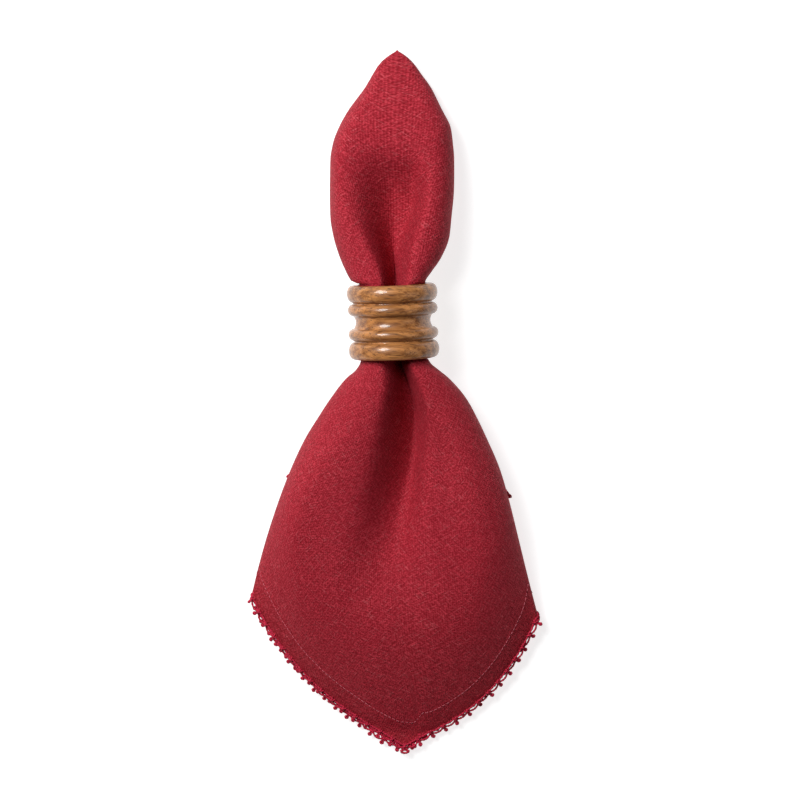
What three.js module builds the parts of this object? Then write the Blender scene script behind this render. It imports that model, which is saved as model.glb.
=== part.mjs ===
// A linen napkin gathered through a turned wooden ring, lying on its back.
// +Y points to the pinched tip, +Z up, the surface it rests on is z = 0, lengths are millimetres.
// Everything is measured from the middle of the ring, and the last step centres the whole part.
import * as THREE from 'three';

// The ring
const RING_RADIUS = 22.2;
const RING_BORE_RADIUS = 16.5;
const RING_LENGTH = 36.2;
const RING_Y = 1.1;
const RING_TURN = THREE.MathUtils.degToRad(2);
const RING_SIDES = 40;

// The napkin: a square folded in quarters, pinched at its middle and drawn through the ring
const CLOTH_THICKNESS = 2;
const EDGE_CLEARANCE = 0.35;
const BUNDLE_RADIUS = RING_BORE_RADIUS - EDGE_CLEARANCE - CLOTH_THICKNESS / 2;
const TIP = { x: 2, y: 133.7, z: 3.4 };
const TIP_INNER_Y = 131.7;
const HEM_TIP = { x: 5.5, y: -214 };
const HEM_HEIGHT = 3.2;
const HEM_FALL_LENGTH = 80;
const HEM_LIFT = 0.1;
const HEM_EVENNESS = 0.17;
const HEM_SINK = 4;
const TIP_ROUNDING = 10;
const HEM_BOW_SHAPE = 0.75;
const HEM_BOW_SHIFT = 1.4;

// The crocheted edging
const EDGING_REACH = 3.1;
const EDGING_SCALLOP = 0.9;
const EDGING_THICKNESS = 1.4;
const PICOT_PITCH = 7.2;
const STEPS_PER_PICOT = 6;

// Where each fold meets the hem: the corner of the front sheet, the inner fold and the side corner; how far
// the hem bows, and how full the shoulder is, with 1 an ellipse and less a boxier curve
const SIDES = {
  left: {
    sign: -1,
    corner: { x: 70, y: -137 },
    fold: { x: 4.2, y: -127 },
    end: { x: 39, y: -88 },
    bow: 12.5,
    puff: 0.9,
  },
  right: {
    sign: 1,
    corner: { x: 71.4, y: -147 },
    fold: { x: 4.2, y: -127 },
    end: { x: 59.3, y: -83 },
    bow: 14,
    puff: 0.62,
  },
};

// Outline of the cloth seen from above: distance of each side, and the height of its outermost point
const OUTLINE_COLUMNS = ['y', 'left', 'right', 'height'];
const OUTLINE = [
  [134.5, -1.5, -1.5, 2.9],
  [131, 4.4, 4.4, 3.2],
  [127, 8.6, 8.2, 3.6],
  [121, 12.4, 12.5, 4],
  [115, 15.8, 17, 4.3],
  [107, 21.6, 21.2, 4.6],
  [103, 24.3, 23.3, 4.8],
  [95.5, 28.2, 27.2, 5],
  [88.5, 30.7, 28.4, 5.2],
  [80, 31.9, 29.4, 5.5],
  [65, 31.6, 29.8, 6.5],
  [52, 31, 29, 8],
  [42.5, 29.2, 28.2, 10.5],
  [32.5, 25.9, 24.4, 14],
  [25, 22.4, 19.2, 17.5],
  [21, 20, 16.6, 20.5],
  [18, 16.2, 16.2, 22],
  [-16, 16.2, 16.2, 22],
  [-20, 17, 18, 21.5],
  [-24, 19.5, 22.6, 20],
  [-28, 24, 27.4, 18],
  [-38, 31.4, 36, 14.5],
  [-48.5, 38, 42, 12.5],
  [-58.5, 44, 46.8, 11],
  [-73.5, 51, 53.2, 9.5],
  [-89, 57, 57.8, 8],
  [-109, 63.6, 62.8, 6.2],
  [-124, 67.8, 66.5, 5],
  [-137, 71, 69.8, 4.4],
  [-147, 73.6, 72.4, 4],
  [-215, 85, 87, 3.6],
];

// Crown of the front sheet: the groove down its middle and the lobe on each side of it
const CROWN_COLUMNS = ['y', 'grooveX', 'grooveZ', 'leftX', 'leftZ', 'rightX', 'rightZ'];
const CROWN = [
  [133.7, 2, 3.8, 1.8, 3.7, 2.2, 3.7],
  [131, 2, 6, 0, 5.7, 4, 5.7],
  [127, 1.7, 8.4, -2.2, 8, 5.4, 8],
  [121, 1.2, 11.9, -4.6, 11.2, 7, 11.2],
  [115, 0.8, 15.2, -7.4, 14.6, 9.4, 14.4],
  [107, 0.4, 19.4, -11.5, 19, 12.5, 18.8],
  [100, 0, 22.2, -15, 22.4, 14.5, 22],
  [94, 0, 24, -18.5, 24.4, 16, 24.2],
  [88, 0, 24.6, -21.5, 25.6, 17.2, 25.6],
  [82, 0, 23.2, -23.6, 26.4, 18.2, 26.6],
  [76, 0.4, 19.4, -24.4, 27, 18.8, 27.6],
  [70, 0.8, 15.6, -24.2, 27.8, 18.8, 28.4],
  [62, 1, 12.4, -23.2, 28.8, 18, 29.6],
  [54, 1, 11.2, -21.4, 30, 16.8, 30.8],
  [42.5, 0.8, 11.2, -16.4, 31.8, 13.6, 33],
  [32.5, 1, 14, -11.2, 33.4, 10.8, 34.2],
  [25, 1.4, 17.2, -8, 34.6, 9.4, 34.8],
  [18, 1.6, 19.6, -6.8, 35, 7.8, 35],
  [0, 2, 19.8, -6.6, 35, 7.4, 35],
  [-18, 4, 19.4, -6, 35, 9.6, 35],
  [-28, 7.4, 16.6, -6, 35, 15, 35.2],
  [-38, 10.4, 13.2, -9, 34.8, 19, 35],
  [-48.5, 11.6, 11.2, -15, 34.4, 23.4, 34.6],
  [-58.5, 11.4, 10.6, -23, 34.2, 27, 34.4],
  [-73.5, 9.4, 11.4, -34, 34, 32, 34.2],
  [-87, 6.8, 13.8, -40.5, 33.6, 36, 33.8],
  [-99, 3.8, 17.6, -44, 33, 38, 33.2],
  [-112, 0.6, 22.4, -46, 32, 38, 32.6],
  [-124, -0.6, 26.2, -46, 31, 38, 32],
  [-155, 2, 30.4, -43, 30, 38, 31],
  [-200, 10.4, 31, -34, 29, 37, 29],
  [-215, 5.5, 31, -30, 29, 36, 29],
];

// How each lobe rises from the groove, as shares of its width: where the floor ends and where the wall
// ends, and how sharp a crease the right wall rises from
const WALL_COLUMNS = ['y', 'leftFloor', 'leftWall', 'rightFloor', 'rightWall', 'crease'];
const WALLS = [
  [133.7, 0, 1, 0, 1, 0],
  [92, 0, 1, 0, 1, 0],
  [76, 0, 1, 0.35, 1, 0],
  [60, 0, 1, 0.45, 1, 0],
  [46, 0, 1, 0.25, 1, 0],
  [32, 0, 1, 0, 1, 0.4],
  [18, 0, 1, 0, 1, 0.6],
  [-18, 0, 1, 0, 1, 0.8],
  [-38, 0, 0.95, 0, 0.85, 0.7],
  [-58, 0, 0.72, 0, 0.5, 0.4],
  [-73, 0, 0.6, 0, 0.36, 0.2],
  [-99, 0, 0.58, 0, 0.36, 0],
  [-124, 0, 0.7, 0, 0.6, 0],
  [-155, 0, 1, 0, 1, 0],
];
const WALL_SLANT = 0.55;

// The layers underneath: height of the turned-in layer at its outer and inner end, height of the last
// layer where the fold between them is closed, how much of the half width the fold lies from the middle,
// the angle it turns and the last layer's width
const UNDER_COLUMNS = ['y', 'outerZ', 'innerZ', 'lastZ', 'foldPlace', 'foldAngle', 'lastWidth'];
const UNDER = [
  [133.7, 1.3, 1.4, -0.6, 0.8, 8, 0.3],
  [121, 1.1, 1.4, -1, 0.72, 8, 0.6],
  [95.5, 1.1, 1.4, -1, 0.76, 8, 1],
  [82, 1.4, 2.4, -0.2, 0.74, 30, 1.2],
  [75, 2.2, 4.4, 1.6, 0.7, 75, 1.6],
  [68, 3.2, 5.6, 2.6, 0.66, 120, 2.2],
  [58, 4.6, 5.8, 2, 0.58, 180, 5],
  [42.5, 7, 8.4, 3.2, 0.46, 180, 9],
  [32.5, 10.6, 11.4, 4.6, 0.38, 180, 10.5],
  [24, 14.2, 14.6, 6.2, 0.36, 180, 9.5],
  [18, 16.6, 16.6, 7.4, 0.38, 180, 9],
  [-18, 16.6, 16.6, 7.4, 0.38, 180, 9],
  [-24, 15, 15, 6.2, 0.33, 180, 11.5],
  [-34, 11.4, 12, 4.4, 0.2, 180, 19],
  [-44, 8.6, 9.4, 3, 0.15, 180, 25.5],
  [-58.5, 6.2, 6.8, 1.8, 0.115, 180, 35],
  [-73.5, 5, 5.4, 1, 0.09, 180, 44.5],
  [-84, 4.2, 4.8, 1, 0.08, 180, 51.5],
  [-96, 3.4, 4.3, 1, 0.071, 180, 59],
  [-110, 2.2, 4.2, 1, 0.067, 180, 68],
  [-127, 1.5, 4.2, 1, 0.063, 180, 79],
  [-150, 1.2, 4.2, 1, 0.06, 180, 90],
];

// Steps across half a section, fold by fold, and rows along the cloth
const STEPS = { lobe: 6, shoulder: 6, wrap: 3, inward: 2, fold: 4, last: 3 };
const BUD_START_Y = 131.2;
const NECK_HALF = 18.7;
const NECK_TOP = RING_Y + NECK_HALF;
const NECK_BOTTOM = RING_Y - NECK_HALF;
const SKIRT_STRAIGHT = 60;
const NECK_FLARE = 2.4;
const BUD_ROWS = 17;
const NECK_ROWS = 6;
const SKIRT_ROWS = 18;
const WRAP_WIDTH = 0.14;
const WRAP_LIMIT = 4;

// Turned profile of the ring, from one end to the other: distance along the axis and radius
const BEADS = [
  { from: -18.1, to: -9.8, radius: 22.2 },
  { from: -8.9, to: -3.1, radius: 22 },
  { from: 3.1, to: 8.9, radius: 22 },
  { from: 9.7, to: 18.1, radius: 22.2 },
];
const BEAD_HEIGHT = 2.7;
const BEAD_STEPS = 6;
const COVE_RADIUS = 18.3;
const COVE_STEPS = 4;
const BORE_ROUNDING = 1.2;

const CRIMSON = { color: 0xa8303f, roughness: 0.85, metalness: 0 };
const DEEP_CRIMSON = { color: 0x8c1c30, roughness: 0.8, metalness: 0 };
const WALNUT = { color: 0x8a5a33, roughness: 0.35, metalness: 0 };

// Reads one column of a table at height y along the part, on a smooth curve that never overshoots
function readTable(rows, columns, name, y) {
  const k = columns.indexOf(name);
  const last = rows.length - 1;
  if (y >= rows[0][0]) return rows[0][k];
  if (y <= rows[last][0]) return rows[last][k];
  let i = 0;
  while (rows[i + 1][0] > y) i += 1;
  const slope = (a) => (rows[a + 1][k] - rows[a][k]) / (rows[a + 1][0] - rows[a][0]);
  const tangent = (a) => {
    if (a === 0) return slope(0);
    if (a === last) return slope(last - 1);
    const before = slope(a - 1);
    const after = slope(a);
    return before * after <= 0 ? 0 : (2 * before * after) / (before + after);
  };
  const span = rows[i + 1][0] - rows[i][0];
  const t = (y - rows[i][0]) / span;
  const startWeight = 2 * t ** 3 - 3 * t ** 2 + 1;
  const startTangent = (t ** 3 - 2 * t ** 2 + t) * span;
  const endTangent = (t ** 3 - t ** 2) * span;
  return startWeight * rows[i][k] + (1 - startWeight) * rows[i + 1][k]
    + startTangent * tangent(i) + endTangent * tangent(i + 1);
}

const outline = (name, y) => readTable(OUTLINE, OUTLINE_COLUMNS, name, y);
const crown = (name, y) => readTable(CROWN, CROWN_COLUMNS, name, y);
const walls = (name, y) => readTable(WALLS, WALL_COLUMNS, name, y);
const under = (name, y) => readTable(UNDER, UNDER_COLUMNS, name, y);

// The middle line of the cloth seen from above: along the turned ring, and straight to the two tips
function middleX(y) {
  const along = y - RING_Y;
  const end = RING_LENGTH / 2;
  const ringShift = -Math.sin(RING_TURN) * THREE.MathUtils.clamp(along, -end, end);
  const toTip = THREE.MathUtils.smoothstep(along, end, TIP.y - RING_Y);
  const toHem = THREE.MathUtils.smoothstep(-along, end, SKIRT_STRAIGHT);
  return ringShift * (1 - toTip) * (1 - toHem) + TIP.x * toTip;
}

// The bore holds the bundle: nothing inside the ring lies further from its axis than this
function holdInRing(x, y, z) {
  const past = Math.max(Math.abs(y - RING_Y) - NECK_HALF, 0);
  const limit = BUNDLE_RADIUS + NECK_FLARE * past;
  const dx = x - middleX(y);
  const dz = z - RING_RADIUS;
  const scale = limit / Math.max(Math.hypot(dx, dz), limit);
  return [middleX(y) + dx * scale, RING_RADIUS + dz * scale];
}

// How far up from the groove, as a share, a lobe has risen: a floor, a wall, and a slant to its top
function lobeRise(side, y, u) {
  const floor = walls(side.sign < 0 ? 'leftFloor' : 'rightFloor', y);
  const wall = walls(side.sign < 0 ? 'leftWall' : 'rightWall', y);
  const climb = THREE.MathUtils.clamp((u - floor) / (wall - floor), 0, 1);
  const crease = side.sign > 0 ? walls('crease', y) : 0;
  const slant = WALL_SLANT * (1 - wall);
  const round = (1 - Math.cos(Math.PI * climb)) / 2;
  const sharp = Math.sin((Math.PI / 2) * climb);
  return (1 - slant) * ((1 - crease) * round + crease * sharp) + slant * Math.sin((Math.PI / 2) * u);
}

// One point of the cloth's middle surface before the front falls to its hem.
// fold names the stretch of the section and u runs from 0 to 1 along it.
function sectionPoint(side, y, fold, u) {
  const half = outline(side.sign < 0 ? 'left' : 'right', y) - CLOTH_THICKNESS / 2;
  const middle = middleX(y);
  const sideX = middle + side.sign * half;
  const sideZ = outline('height', y);
  const lobeX = crown(side.sign < 0 ? 'leftX' : 'rightX', y);
  const lobeZ = crown(side.sign < 0 ? 'leftZ' : 'rightZ', y);
  const wrap = Math.min(half * WRAP_WIDTH, WRAP_LIMIT);
  const outerZ = under('outerZ', y);
  const innerZ = under('innerZ', y);
  const foldX = half * under('foldPlace', y);
  const radius = (innerZ - under('lastZ', y)) / 2;
  const angle = THREE.MathUtils.degToRad(under('foldAngle', y));
  const outward = (distance) => middle + side.sign * distance;
  if (fold === 'lobe') {
    const rise = lobeRise(side, y, u);
    return [lobeX * u + crown('grooveX', y) * (1 - u), crown('grooveZ', y) * (1 - rise) + lobeZ * rise];
  }
  if (fold === 'shoulder') {
    const turn = (Math.PI / 2) * u;
    const full = Math.max(Math.cos(turn), 0) ** side.puff;
    return [lobeX + (sideX - lobeX) * Math.sin(turn), sideZ + (lobeZ - sideZ) * full];
  }
  if (fold === 'wrap') {
    const turn = (Math.PI / 2) * u;
    return [outward(half - wrap + wrap * Math.cos(turn)), outerZ + (sideZ - outerZ) * (1 - Math.sin(turn))];
  }
  if (fold === 'inward') {
    return [outward(half - wrap + (foldX - half + wrap) * u), outerZ + (innerZ - outerZ) * u];
  }
  const turned = fold === 'fold' ? angle * u : angle;
  const straight = fold === 'last' ? under('lastWidth', y) * u : 0;
  const x = foldX - radius * Math.sin(turned) - straight * Math.cos(turned);
  const z = innerZ - radius * (1 - Math.cos(turned)) - straight * Math.sin(turned);
  return [outward(x), z];
}

// The hem seen from above, as y for an x, for the front sheet, the turned-in layer and the last layer
function hemY(side, fold, x) {
  const along = (from, to) => from.y + (to.y - from.y) * ((x * side.sign - from.x) / (to.x - from.x));
  if (fold === 'lobe' || fold === 'shoulder') {
    const tip = { x: HEM_TIP.x * side.sign, y: HEM_TIP.y };
    const u = THREE.MathUtils.clamp((x * side.sign - tip.x) / (side.corner.x - tip.x), 0, 1);
    return along(tip, side.corner) - side.bow * Math.sin(Math.PI * u ** HEM_BOW_SHIFT) ** HEM_BOW_SHAPE;
  }
  if (fold === 'fold') return side.fold.y;
  return fold === 'last' ? along(side.fold, side.end) : along(side.fold, side.corner);
}

// Where along the part a column of the cloth reaches its hem, found by halving
function columnEnd(side, fold, u) {
  let above = NECK_BOTTOM;
  let below = HEM_TIP.y - 1;
  for (let n = 0; n < 40; n += 1) {
    const y = (above + below) / 2;
    if (y > hemY(side, fold, sectionPoint(side, y, fold, u)[0])) above = y;
    else below = y;
  }
  return below;
}

// Where a column of the front comes down to rest: near its hem, but rounded off at the hem's tip
function columnRest(side, fold, u, end) {
  if (fold !== 'lobe' && fold !== 'shoulder') return end;
  const away = Math.abs(sectionPoint(side, end, fold, u)[0] - HEM_TIP.x);
  const rounded = end + Math.hypot(away, TIP_ROUNDING) - away;
  return rounded - HEM_SINK - HEM_EVENNESS * (end - HEM_TIP.y);
}

// A point of the cloth's middle surface, with the front sheet falling to the hem
function clothPoint({ side, fold, u, rest }, y) {
  const [x, z] = sectionPoint(side, y, fold, u);
  let height = z;
  if (fold === 'lobe' || fold === 'shoulder') {
    const share = fold === 'shoulder' ? 1 - u ** 8 : 1;
    const reach = THREE.MathUtils.clamp((y - rest) / HEM_FALL_LENGTH, 0, 1);
    const fall = Math.max(Math.sin((Math.PI / 2) * reach), HEM_LIFT * (1 - Math.abs(share - 0.5)));
    height = HEM_HEIGHT + (z - HEM_HEIGHT) * (1 - share * (1 - fall));
  }
  const [heldX, heldZ] = holdInRing(x, y, height);
  return new THREE.Vector3(heldX, y, heldZ);
}

// Columns of the cloth from the left side corner, over the front, to the right side corner
function clothColumns(steps) {
  const half = (side) => {
    const list = [];
    for (const [fold, count] of Object.entries(steps)) {
      for (let n = 1; n <= count; n += 1) list.push({ side, fold, u: n / count });
    }
    return list;
  };
  const middle = { side: SIDES.right, fold: 'lobe', u: 0 };
  const columns = [...half(SIDES.left).reverse(), middle, ...half(SIDES.right)];
  return columns.map((column) => {
    const end = columnEnd(column.side, column.fold, column.u);
    return { ...column, end, rest: columnRest(column.side, column.fold, column.u, end) };
  });
}

// Heights of the rows: evenly through the bud and the neck, then fanning out to the hem
function rowHeight(column, row) {
  const lerp = THREE.MathUtils.lerp;
  if (row <= BUD_ROWS) return lerp(BUD_START_Y, NECK_TOP, row / BUD_ROWS);
  if (row <= BUD_ROWS + NECK_ROWS) return lerp(NECK_TOP, NECK_BOTTOM, (row - BUD_ROWS) / NECK_ROWS);
  return lerp(NECK_BOTTOM, column.end, (row - BUD_ROWS - NECK_ROWS) / SKIRT_ROWS);
}

function clothRows(columns) {
  const rows = [];
  for (let row = 0; row <= BUD_ROWS + NECK_ROWS + SKIRT_ROWS; row += 1) {
    rows.push(columns.map((column) => clothPoint(column, rowHeight(column, row))));
  }
  return rows;
}

// Upward normals of a grid of points, from the differences to its neighbours
function gridNormals(rows) {
  return rows.map((row, i) => row.map((point, j) => {
    const across = new THREE.Vector3().subVectors(
      row[Math.min(j + 1, row.length - 1)],
      row[Math.max(j - 1, 0)],
    );
    const along = new THREE.Vector3().subVectors(
      rows[Math.max(i - 1, 0)][j],
      rows[Math.min(i + 1, rows.length - 1)][j],
    );
    return across.cross(along).normalize();
  }));
}

function meshOf(name, positions, indices, look) {
  const geometry = new THREE.BufferGeometry();
  geometry.setAttribute('position', new THREE.Float32BufferAttribute(positions, 3));
  geometry.setIndex(indices);
  geometry.computeVertexNormals();
  const mesh = new THREE.Mesh(geometry, new THREE.MeshStandardMaterial(look));
  mesh.name = name;
  return mesh;
}

// The cloth as one closed body: two faces of the grid, its rim, and the pinched tip where all rows meet
function makeCloth() {
  const columns = clothColumns(STEPS);
  const rows = clothRows(columns);
  const normals = gridNormals(rows);
  const width = columns.length;
  const height = rows.length;
  const positions = [];
  const indices = [];
  for (const face of [1, -1]) {
    rows.forEach((row, i) => row.forEach((point, j) => {
      const moved = point.clone().addScaledVector(normals[i][j], (face * CLOTH_THICKNESS) / 2);
      positions.push(moved.x, moved.y, moved.z);
    }));
  }
  const outer = (i, j) => i * width + j;
  const inner = (i, j) => (height + i) * width + j;
  const outerTip = positions.length / 3;
  const innerTip = outerTip + 1;
  positions.push(TIP.x, TIP.y, TIP.z + 0.4, TIP.x, TIP_INNER_Y, TIP.z - 0.4);
  const quad = (a, b, c, d) => indices.push(a, b, c, a, c, d);
  for (let i = 0; i < height - 1; i += 1) {
    for (let j = 0; j < width - 1; j += 1) {
      quad(outer(i, j), outer(i + 1, j), outer(i + 1, j + 1), outer(i, j + 1));
      quad(inner(i, j), inner(i, j + 1), inner(i + 1, j + 1), inner(i + 1, j));
    }
    quad(inner(i, 0), inner(i + 1, 0), outer(i + 1, 0), outer(i, 0));
    quad(outer(i, width - 1), outer(i + 1, width - 1), inner(i + 1, width - 1), inner(i, width - 1));
  }
  for (let j = 0; j < width - 1; j += 1) {
    quad(outer(height - 1, j), inner(height - 1, j), inner(height - 1, j + 1), outer(height - 1, j + 1));
    indices.push(outerTip, outer(0, j), outer(0, j + 1));
    indices.push(innerTip, inner(0, j + 1), inner(0, j));
  }
  quad(innerTip, inner(0, 0), outer(0, 0), outerTip);
  quad(outerTip, outer(0, width - 1), inner(0, width - 1), innerTip);
  return meshOf('napkin_cloth', positions, indices, CRIMSON);
}

// The hem as a line of points on the cloth's columns, with the direction in which the cloth ends there
function hemLine() {
  const columns = clothColumns(STEPS);
  const [before, last] = clothRows(columns).slice(-2);
  return last.map((point, n) => ({ point, along: point.clone().sub(before[n]).normalize() }));
}

// The edging as a scalloped ribbon that follows the hem all the way, just clear of the cloth
function makeEdging() {
  const line = hemLine();
  const travelled = [0];
  for (let n = 1; n < line.length; n += 1) {
    travelled.push(travelled[n - 1] + line[n].point.distanceTo(line[n - 1].point));
  }
  const total = travelled[travelled.length - 1];
  const picots = Math.round(total / PICOT_PITCH);
  const stations = picots * STEPS_PER_PICOT;
  const read = (distance) => {
    const wanted = THREE.MathUtils.clamp(distance, 0, total);
    let n = 1;
    while (n < line.length - 1 && travelled[n] < wanted) n += 1;
    const t = (wanted - travelled[n - 1]) / (travelled[n] - travelled[n - 1]);
    return {
      point: line[n - 1].point.clone().lerp(line[n].point, t),
      along: line[n - 1].along.clone().lerp(line[n].along, t).normalize(),
    };
  };
  const positions = [];
  const indices = [];
  for (let s = 0; s <= stations; s += 1) {
    const distance = (total * s) / stations;
    const { point, along } = read(distance);
    const tangent = read(distance + 1).point.sub(read(distance - 1).point).normalize();
    const face = tangent.clone().cross(along).normalize();
    const outward = face.clone().cross(tangent).normalize();
    const reach = EDGING_REACH + EDGING_SCALLOP * Math.cos((2 * Math.PI * s) / STEPS_PER_PICOT);
    const corners = [[EDGE_CLEARANCE, 1], [EDGE_CLEARANCE, -1], [reach, -1], [reach, 1]];
    for (const [far, up] of corners) {
      const corner = point.clone().addScaledVector(outward, far);
      corner.addScaledVector(face, (up * EDGING_THICKNESS) / 2);
      positions.push(corner.x, corner.y, corner.z);
    }
    if (s === 0) continue;
    for (let k = 0; k < 4; k += 1) {
      const a = (s - 1) * 4 + k;
      const b = (s - 1) * 4 + ((k + 1) % 4);
      indices.push(a, b + 4, a + 4, a, b, b + 4);
    }
  }
  const end = stations * 4;
  indices.push(0, 2, 1, 0, 3, 2, end, end + 1, end + 2, end, end + 2, end + 3);
  return meshOf('picot_edging', positions, indices, DEEP_CRIMSON);
}

// The ring's outline as a half circle on each bead, with a hollow between the two pairs
function ringProfile() {
  const points = [];
  BEADS.forEach((bead, n) => {
    if (n === 2) {
      const from = BEADS[1].to;
      const span = bead.from - from;
      for (let k = 1; k < COVE_STEPS; k += 1) {
        const t = k / COVE_STEPS;
        const rise = bead.radius - BEAD_HEIGHT - COVE_RADIUS;
        points.push(new THREE.Vector2(COVE_RADIUS + rise * (2 * t - 1) ** 2, from + span * t));
      }
    }
    for (let k = 0; k <= BEAD_STEPS; k += 1) {
      const turn = (Math.PI * k) / BEAD_STEPS;
      const along = (bead.from + bead.to) / 2 - ((bead.to - bead.from) / 2) * Math.cos(turn);
      points.push(new THREE.Vector2(bead.radius - BEAD_HEIGHT + BEAD_HEIGHT * Math.sin(turn), along));
    }
  });
  const end = RING_LENGTH / 2;
  const flare = RING_BORE_RADIUS + BORE_ROUNDING;
  points.push(new THREE.Vector2(flare, end), new THREE.Vector2(RING_BORE_RADIUS, end - BORE_ROUNDING));
  points.push(new THREE.Vector2(RING_BORE_RADIUS, BORE_ROUNDING - end), new THREE.Vector2(flare, -end));
  points.push(points[0].clone());
  return points;
}

function makeRing() {
  const geometry = new THREE.LatheGeometry(ringProfile(), RING_SIDES);
  const mesh = new THREE.Mesh(geometry, new THREE.MeshStandardMaterial(WALNUT));
  mesh.name = 'napkin_ring';
  mesh.position.set(0, RING_Y, RING_RADIUS);
  mesh.rotation.z = RING_TURN;
  return mesh;
}

// The part with its origin in the middle of its box, on the surface it rests on
const group = new THREE.Group();
group.add(makeCloth(), makeEdging(), makeRing());
group.updateMatrixWorld(true);
const box = new THREE.Box3().setFromObject(group, true);
group.position.set(-(box.min.x + box.max.x) / 2, -(box.min.y + box.max.y) / 2, -box.min.z);

export default group;
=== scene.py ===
"""Looks of a linen napkin gathered through a turned wooden ring, lying on its back.

The tables hold millimetres measured from the middle of the ring: +Y to the pinched tip, +Z up, the floor
at z = 0. placed() turns them into metres in the part's own frame, which is read from the ring.
"""
import math
import random

import bpy
import numpy as np
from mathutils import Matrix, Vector


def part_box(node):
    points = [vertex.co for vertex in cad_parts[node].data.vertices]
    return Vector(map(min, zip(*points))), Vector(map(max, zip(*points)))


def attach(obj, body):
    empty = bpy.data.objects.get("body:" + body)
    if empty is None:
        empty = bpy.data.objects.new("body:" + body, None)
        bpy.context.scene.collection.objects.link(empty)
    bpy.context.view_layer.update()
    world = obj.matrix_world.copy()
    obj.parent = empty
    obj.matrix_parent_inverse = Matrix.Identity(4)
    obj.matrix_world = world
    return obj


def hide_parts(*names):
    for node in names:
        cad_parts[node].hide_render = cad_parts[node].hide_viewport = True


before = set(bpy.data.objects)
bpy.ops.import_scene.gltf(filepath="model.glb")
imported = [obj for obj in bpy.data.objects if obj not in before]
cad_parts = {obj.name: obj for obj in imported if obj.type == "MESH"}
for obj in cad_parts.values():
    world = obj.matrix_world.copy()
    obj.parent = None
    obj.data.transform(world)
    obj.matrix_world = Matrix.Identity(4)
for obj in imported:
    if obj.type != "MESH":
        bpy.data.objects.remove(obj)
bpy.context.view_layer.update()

MM = 0.001

# The ring
RING_RADIUS = 22.2
RING_BORE_RADIUS = 16.5
RING_LENGTH = 36.2
RING_Y = 1.1
RING_TURN = math.radians(2)
BEADS = [(-18.1, -9.8, 22.2), (-8.9, -3.1, 22), (3.1, 8.9, 22), (9.7, 18.1, 22.2)]
BEAD_HEIGHT = 2.7
COVE_RADIUS = 18.3
BORE_ROUNDING = 1.2
BEAD_STEPS = 18
COVE_STEPS = 12
ROUNDING_STEPS = 6
ROUND_STEPS = 144

# The bundle of cloth, its pinched tip, and how fast it may spread outside the ring
BUNDLE_THICKNESS = 2
EDGE_CLEARANCE = 0.35
BUNDLE_RADIUS = RING_BORE_RADIUS - EDGE_CLEARANCE - BUNDLE_THICKNESS / 2
TIP = (2, 133.7, 3.4)
NECK_HALF = 18.7
NECK_TOP = RING_Y + NECK_HALF
NECK_BOTTOM = RING_Y - NECK_HALF
NECK_FLARE = 2.4
SKIRT_STRAIGHT = 60

# The front's fall to its hem: over what length it falls, the least share of its height that it keeps, how
# far past its hem it would lie flat, how much further for each millimetre that its hem lies above the hem's
# tip, and how much sooner at the tip itself
HEM_TIP = (5.5, -214)
HEM_HEIGHT = 3.2
HEM_FALL_LENGTH = 80
HEM_LIFT = 0.1
HEM_SINK = 4
HEM_EVENNESS = 0.17
TIP_ROUNDING = 10

# The hem's bow between its tip and its corner: a small shape is full, a large shift lies near the corner
HEM_BOW_SHAPE = 0.75
HEM_BOW_SHIFT = 1.4

# How wide the sides wrap under, as a share of the half width and at most, and how short creases fade out
WRAP_WIDTH = 0.14
WRAP_LIMIT = 4
CREASE_END = 0.12

# The napkin laid flat. Its hem is measured square to the edge, by how each column of the cloth leans on it:
# the least lean that counts, and how far up a column it is read.
NAPKIN_SIDE = 500
QUADRANT = NAPKIN_SIDE / 2
DIAGONAL = QUADRANT * math.sqrt(2)
HEM_WIDTH = 11
LEAST_LEAN = 0.45
LEAN_PROBE = 4

# The stack of layers, which closes up over the last stretch to the tip to a share of its thickness
LAYER_THICKNESS = 0.34
LAYER_SPACING = 0.5
TIP_SPACING = 0.3
TIP_LENGTH = 9

# The hem's machine stitches. STITCH_RISE holds shares of a stitch's length and heights over the cloth.
# Within STITCH_CORNER of the hem's corner the line runs straight.
STITCH_PITCH = 2.3
STITCH_LENGTH = 1.7
STITCH_RADIUS = 0.17
STITCH_CORNER = 5
STITCH_RISE = [(0, -0.1), (0.25, 0.1), (0.5, 0.15), (0.75, 0.1), (1, -0.1)]

# The crocheted edging. The foot of a picot and the places of a crossing stitch are measured along the hem,
# out from it and above it. A picot leans along the hem and tilts off it by chance, more towards its end.
THREAD_RADIUS = 0.5
UNEVENNESS = 0.12
PICOT_PITCH = 7.2
PICOT_REACH = 4.3
PICOT_RADIUS = 0.5
PICOT_STRETCH = 1.15
PICOT_THREAD = THREAD_RADIUS * 1.15
PICOT_FOOT = (0.5, 1.1, 0.1)
PICOT_LEAN = 0.35
PICOT_LEAN_FROM = 1.5
PICOT_TILT = 0.6
PICOT_TILT_FROM = 1.2
PICOT_TILT_SLOPE = 0.35
PICOT_STEPS = 15
ARCH_REACH = 2.8
ARCH_FOOT = 0.5
ARCH_FULLNESS = 0.75
ARCH_RISE = 0.25
ARCH_SLACK = 1.1
ARCH_STEPS = 16
CHAIN_LENGTH = 1.25
CHAIN_SWELL = 0.14
CORD_WAVE = 1.8
CORD_SWELL = 0.3
CORD_STEP = 0.6
CORD_PLACE = (0.1, 0.15)
CROSSING_THREAD = THREAD_RADIUS * 0.8
CROSSING = [(-0.9, -0.9, 0.3), (-0.4, -0.2, 0.75), (0.1, 0.6, 0.8), (0.7, 1.4, 0.4), (0.8, 1.6, -0.2)]
HEM_PROBE = 0.5
FLOOR_GAP = 0.05

SEED = 11

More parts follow.
